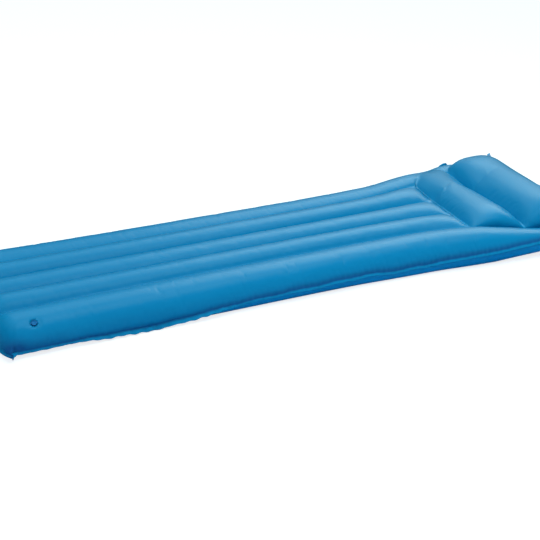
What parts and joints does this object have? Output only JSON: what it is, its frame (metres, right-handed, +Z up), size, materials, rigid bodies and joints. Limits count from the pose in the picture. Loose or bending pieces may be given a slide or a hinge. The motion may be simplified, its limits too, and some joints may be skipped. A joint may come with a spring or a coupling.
{
  "type": "inflatable beach mattress",
  "caption": "Inflatable beach mattress with lengthwise air tubes, a raised crosswise pillow, a welded rim and push-in valves with hinged plugs.",
  "frame": {"origin": "on the floor, under the middle of the whole length and width", "axes": "+X from the foot end towards the pillow end, +Y towards the side without the body valve, +Z up"},
  "size_m": [1.851, 0.664, 0.1638],
  "materials": {
    "sheet": "satin soft vinyl film",
    "base": "satin soft vinyl film, underside",
    "pillow": "satin soft vinyl film",
    "web": "plain soft vinyl film",
    "valve": "satin moulded soft vinyl",
    "membrane": "thin soft vinyl"
  },
  "bodies": {
    "envelope": {"top_sheet": "sheet", "bottom_sheet": "base", "pillow_sheet": "pillow", "tube_web_1": "web", "tube_web_2": "web", "tube_web_3": "web", "tube_web_4": "web", "body_valve_flange": "valve", "body_valve_membrane": "membrane", "pillow_valve_flange": "valve", "pillow_valve_membrane": "membrane"},
    "body_valve_stem_body": {"body_valve_stem": "valve"},
    "body_valve_plug_body": {"body_valve_plug": "valve"},
    "body_valve_flap_body": {"body_valve_flap": "membrane"},
    "pillow_valve_stem_body": {"pillow_valve_stem": "valve"},
    "pillow_valve_plug_body": {"pillow_valve_plug": "valve"},
    "pillow_valve_flap_body": {"pillow_valve_flap": "membrane"}
  },
  "joints": [
    {"name": "body_valve_pull", "type": "slide", "parent": "envelope", "child": "body_valve_stem_body", "axis": [0.009, -0.7153, 0.6988], "range_m": [0, 0.013], "deforming": ["body_valve_membrane"]},
    {"name": "body_valve_plug_swing", "type": "hinge", "parent": "body_valve_stem_body", "child": "body_valve_plug_body", "pos_m": [-0.83088, -0.23158, 0.09544], "axis": [0, -0.6988, -0.7153], "range_deg": [0, 150]},
    {"name": "body_valve_flap_swing", "type": "hinge", "parent": "body_valve_stem_body", "child": "body_valve_flap_body", "pos_m": [-0.82712, -0.22061, 0.08472], "axis": [0, 0.6988, 0.7153], "range_deg": [0, 60], "stiffness_Nm_per_rad": 0.00005, "springref_deg": -17.19},
    {"name": "pillow_valve_pull", "type": "slide", "parent": "envelope", "child": "pillow_valve_stem_body", "axis": [0.9058, 0.0125, 0.4235], "range_m": [0, 0.013], "deforming": ["pillow_valve_membrane"]},
    {"name": "pillow_valve_plug_swing", "type": "hinge", "parent": "pillow_valve_stem_body", "child": "pillow_valve_plug_body", "pos_m": [0.88112, -0.08287, 0.10433], "axis": [0.4235, 0, -0.9059], "range_deg": [0, 150]},
    {"name": "pillow_valve_flap_swing", "type": "hinge", "parent": "pillow_valve_stem_body", "child": "pillow_valve_flap_body", "pos_m": [0.86722, -0.07916, 0.09783], "axis": [-0.4235, 0, 0.9059], "range_deg": [0, 60], "stiffness_Nm_per_rad": 0.00005, "springref_deg": -17.19}
  ]
}
